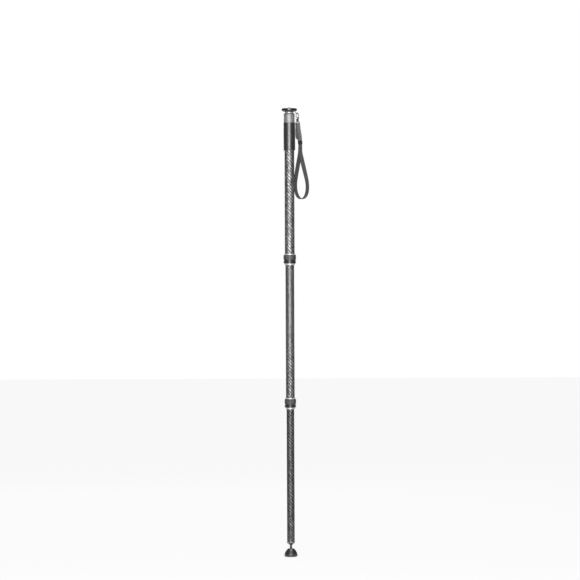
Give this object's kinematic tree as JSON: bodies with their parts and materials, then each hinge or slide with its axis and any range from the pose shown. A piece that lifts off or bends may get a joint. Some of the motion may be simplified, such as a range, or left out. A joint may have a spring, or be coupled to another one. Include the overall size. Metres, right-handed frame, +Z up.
{
  "type": "camera monopod",
  "caption": "Telescoping monopod with woven carbon tubes, twist locks, a rubber grip, a ball-jointed rubber foot and a wrist strap on a snap hook.",
  "frame": {"origin": "centre of the flat face of the rubber foot, on the tubes' axis", "axes": "+Z up along the tubes, +X towards the wrist strap, -Y towards the viewer of the picture"},
  "size_m": [0.1016, 0.0642, 1.654],
  "materials": {
    "stainless": "turned and satin",
    "black_anodised": "satin black anodised aluminium",
    "black_rubber": "moulded matt black rubber",
    "black_steel": "black oxide",
    "bright_aluminium": "turned bright",
    "silver_paint": "satin silver-grey",
    "black_nylon": "moulded",
    "white_nylon": "moulded, slightly glossy",
    "grip_rubber": "smooth satin rubber sleeve",
    "carbon_tube": "woven carbon fibre under clear lacquer",
    "felt": "pressed felt",
    "grey_casting": "gunmetal plated die casting",
    "grey_webbing": "flat woven",
    "black_webbing": "flat woven"
  },
  "bodies": {
    "upper": {"camera_stud": "stainless", "camera_plate": "black_anodised", "plate_pad": "black_rubber", "plate_screws": "black_steel", "neck_ring": "bright_aluminium", "upper_collar": "silver_paint", "tube_plug": "black_nylon", "section_bumper": "black_rubber", "grip": "grip_rubber", "upper_tube": "carbon_tube", "strap_bail": "stainless", "upper_lock_sleeve": "bright_aluminium"},
    "upper_collet": {"upper_lock_collet": "white_nylon"},
    "upper_lock": {"upper_lock_ring": "black_anodised", "upper_lock_rubber": "black_rubber", "upper_lock_trim": "bright_aluminium", "upper_lock_wiper": "felt"},
    "middle": {"middle_tube": "carbon_tube", "middle_shims": "white_nylon", "lower_lock_sleeve": "bright_aluminium"},
    "lower_collet": {"lower_lock_collet": "white_nylon"},
    "lower_lock": {"lower_lock_ring": "black_anodised", "lower_lock_rubber": "black_rubber", "lower_lock_trim": "bright_aluminium", "lower_lock_wiper": "felt"},
    "lower": {"lower_tube": "carbon_tube", "lower_shims": "white_nylon", "foot_ferrule": "black_anodised", "ball_stud": "stainless"},
    "foot_spin": {"ball_liner": "black_nylon"},
    "foot_socket": {"foot_socket": "black_nylon"},
    "foot": {"foot_pad": "black_rubber"},
    "hook": {"hook_body": "grey_casting", "gate_pin": "stainless", "gate_spring": "stainless"},
    "gate": {"hook_gate": "grey_casting"},
    "strap": {"swivel_eye": "grey_casting", "strap_link": "grey_webbing", "strap_keeper": "black_nylon", "wrist_loop": "black_webbing"}
  },
  "joints": [
    {"name": "middle_slide", "type": "slide", "parent": "upper", "child": "middle", "axis": [0, 0, 1], "range_m": [0, 0.474]},
    {"name": "upper_collet_seat", "type": "slide", "parent": "upper", "child": "upper_collet", "axis": [0, 0, -1], "range_m": [0, 0.001]},
    {"name": "upper_lock_turn", "type": "hinge", "parent": "upper_collet", "child": "upper_lock", "pos_m": [0, 0, 1.09], "axis": [0, 0, -1], "range_deg": [0, 120]},
    {"name": "lower_slide", "type": "slide", "parent": "middle", "child": "lower", "axis": [0, 0, 1], "range_m": [0, 0.483]},
    {"name": "lower_collet_seat", "type": "slide", "parent": "middle", "child": "lower_collet", "axis": [0, 0, -1], "range_m": [0, 0.001]},
    {"name": "lower_lock_turn", "type": "hinge", "parent": "lower_collet", "child": "lower_lock", "pos_m": [0, 0, 0.56], "axis": [0, 0, -1], "range_deg": [0, 120]},
    {"name": "foot_turn", "type": "hinge", "parent": "lower", "child": "foot_spin", "pos_m": [0, 0, 0.016], "axis": [0, 0, 1], "continuous": true},
    {"name": "foot_tilt_x", "type": "hinge", "parent": "foot_spin", "child": "foot_socket", "pos_m": [0, 0, 0.016], "axis": [1, 0, 0], "range_deg": [-12, 12]},
    {"name": "foot_tilt_y", "type": "hinge", "parent": "foot_socket", "child": "foot", "pos_m": [0, 0, 0.016], "axis": [0, 1, 0], "range_deg": [-12, 12]},
    {"name": "hook_swing", "type": "hinge", "parent": "upper", "child": "hook", "pos_m": [0.0295, 0, 1.6286], "axis": [0, -1, 0], "range_deg": [0, 120]},
    {"name": "gate_open", "type": "hinge", "parent": "hook", "child": "gate", "pos_m": [0.02726, 0, 1.61327], "axis": [0, 1, 0], "range_deg": [0, 28], "stiffness_Nm_per_rad": 0.0005, "springref_deg": -17.19},
    {"name": "strap_swivel", "type": "hinge", "parent": "hook", "child": "strap", "pos_m": [0.03058, 0, 1.60693], "axis": [-0.0499, 0, 0.9988], "range_deg": [-6, 8]}
  ],
  "couplings": [
    {"joint": "upper_lock_turn", "follows": "upper_collet_seat", "rad_per_m": 2094},
    {"joint": "lower_lock_turn", "follows": "lower_collet_seat", "rad_per_m": 2094}
  ]
}
